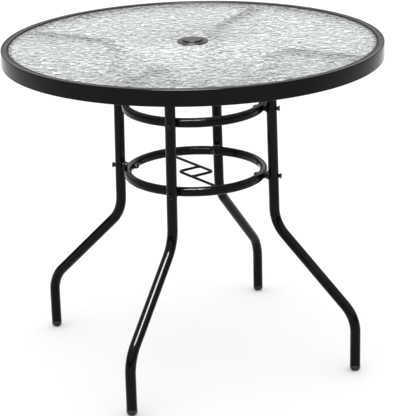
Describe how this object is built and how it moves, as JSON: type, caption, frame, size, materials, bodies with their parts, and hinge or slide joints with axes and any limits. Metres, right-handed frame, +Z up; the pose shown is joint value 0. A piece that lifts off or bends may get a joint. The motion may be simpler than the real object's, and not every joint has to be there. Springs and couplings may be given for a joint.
{
  "type": "patio umbrella table",
  "caption": "Round patio table: a pattern-glass top in a dark steel rim with a capped umbrella opening, on bent tube legs tied by rings.",
  "frame": {"origin": "on the floor, below the middle of the round top", "axes": "+Z up through the umbrella opening; the front leg's shank stands towards -Y and the right leg's towards +X"},
  "size_m": [0.813, 0.813, 0.7143],
  "materials": {
    "powder_coated_steel": "satin black powder coat",
    "pattern_glass": "clear rolled pattern glass, water ripple",
    "black_vinyl": "extruded vinyl",
    "black_plastic": "moulded, fine texture",
    "blackened_fasteners": "black zinc"
  },
  "bodies": {
    "table": {"rim_frame": "powder_coated_steel", "glass_top": "pattern_glass", "glass_gasket": "black_vinyl", "umbrella_collar": "black_plastic", "upper_ring": "powder_coated_steel", "lower_ring": "powder_coated_steel", "guide_rod_back": "powder_coated_steel", "guide_rod_front": "powder_coated_steel", "leg_front": "powder_coated_steel", "leg_right": "powder_coated_steel", "leg_back": "powder_coated_steel", "leg_left": "powder_coated_steel", "foot_front": "black_plastic", "foot_right": "black_plastic", "foot_back": "black_plastic", "foot_left": "black_plastic", "rim_bracket_front": "powder_coated_steel", "rim_bracket_right": "powder_coated_steel", "rim_bracket_back": "powder_coated_steel", "rim_bracket_left": "powder_coated_steel", "upper_ring_spacers": "black_plastic", "upper_ring_bolts": "blackened_fasteners", "upper_ring_cap_nuts": "blackened_fasteners", "lower_ring_spacers": "black_plastic", "lower_ring_bolts": "blackened_fasteners", "lower_ring_cap_nuts": "blackened_fasteners", "arm_screws": "blackened_fasteners"},
    "cap": {"collar_cap": "black_plastic"}
  },
  "joints": [
    {"name": "cap_lift", "type": "slide", "parent": "table", "child": "cap", "axis": [0, 0, 1], "range_m": [0, 0.05]}
  ]
}
